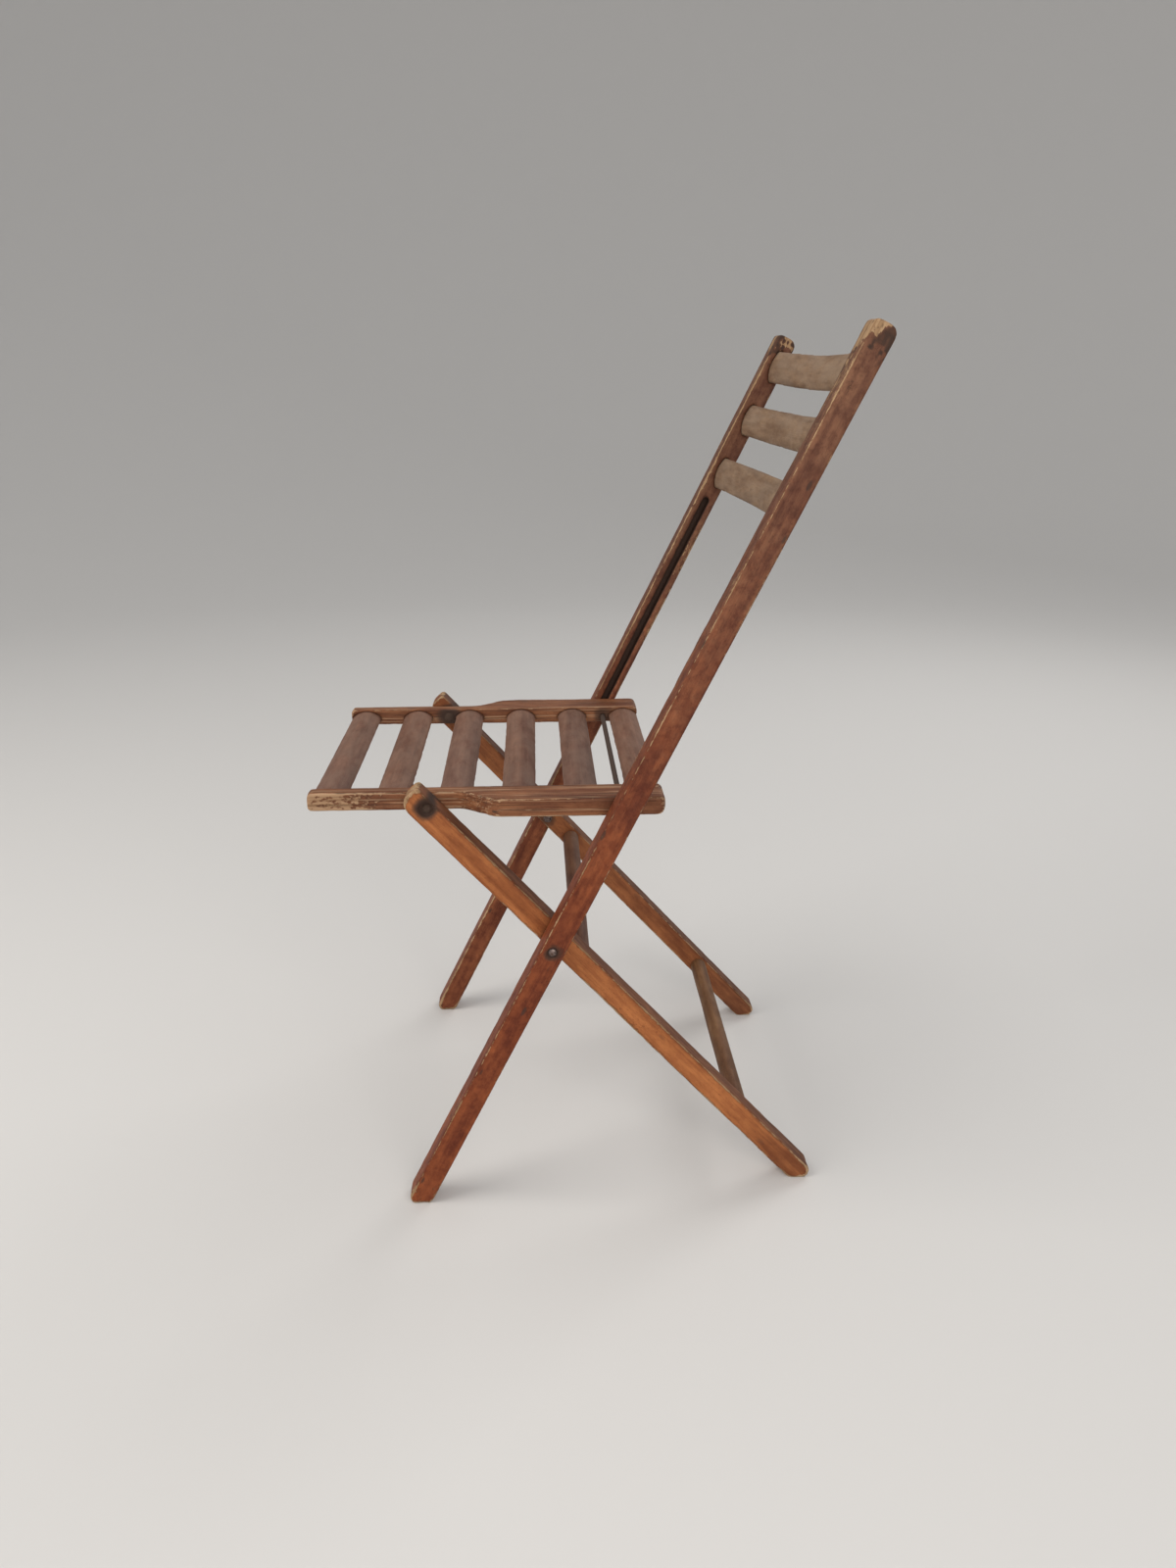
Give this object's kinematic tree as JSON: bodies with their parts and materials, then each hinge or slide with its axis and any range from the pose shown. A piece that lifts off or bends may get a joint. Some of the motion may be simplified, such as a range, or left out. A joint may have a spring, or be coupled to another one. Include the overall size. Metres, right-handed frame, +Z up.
{
  "type": "folding chair",
  "caption": "Wooden chair with slatted seat and bowed slatted back that folds flat: crossed legs pivot on rivets and the seat's steel rod slides in grooves in the posts.",
  "frame": {"origin": "on the floor under the middle of the chair's box", "axes": "+X to the sitter's left, -Y to the front, +Z up"},
  "size_m": [0.4, 0.5019, 0.8217],
  "materials": {
    "post_wood": "worn red-brown varnish",
    "leg_wood": "worn orange-brown varnish",
    "rail_wood": "worn brown varnish",
    "seat_slat_wood": "weathered varnish",
    "back_slat_wood": "weathered varnish",
    "dowel_wood": "worn varnish",
    "dark_steel": "tarnished",
    "rivet_steel": "worn"
  },
  "bodies": {
    "back_frame": {"left_post": "post_wood", "right_post": "post_wood", "back_slat_bottom": "back_slat_wood", "back_slat_middle": "back_slat_wood", "back_slat_top": "back_slat_wood", "left_cross_rivet": "rivet_steel", "right_cross_rivet": "rivet_steel", "cross_cup_washers": "dark_steel", "cross_spacers": "dark_steel", "cross_burrs": "rivet_steel", "back_slat_brads": "dark_steel"},
    "leg_frame": {"left_leg": "leg_wood", "right_leg": "leg_wood", "upper_dowel": "dowel_wood", "lower_dowel": "dowel_wood", "left_seat_rivet": "rivet_steel", "right_seat_rivet": "rivet_steel", "seat_spacers": "dark_steel", "seat_burrs": "rivet_steel", "dowel_brads": "dark_steel"},
    "seat_frame": {"left_rail": "rail_wood", "right_rail": "rail_wood", "seat_slat_1": "seat_slat_wood", "seat_slat_2": "seat_slat_wood", "seat_slat_3": "seat_slat_wood", "seat_slat_4": "seat_slat_wood", "seat_slat_5": "seat_slat_wood", "seat_slat_6": "seat_slat_wood", "slide_rod": "dark_steel", "seat_slat_brads": "dark_steel"}
  },
  "joints": [
    {"name": "leg_fold", "type": "hinge", "parent": "back_frame", "child": "leg_frame", "pos_m": [0, -0.02668, 0.2745], "axis": [-1, 0, 0], "range_deg": [0, 66.3]},
    {"name": "seat_fold", "type": "hinge", "parent": "leg_frame", "child": "seat_frame", "pos_m": [0, -0.13993, 0.4066], "axis": [1, 0, 0], "range_deg": [0, 130.45]}
  ],
  "couplings": [
    {"joint": "seat_fold", "follows": "leg_fold", "ratio": 1.966}
  ]
}
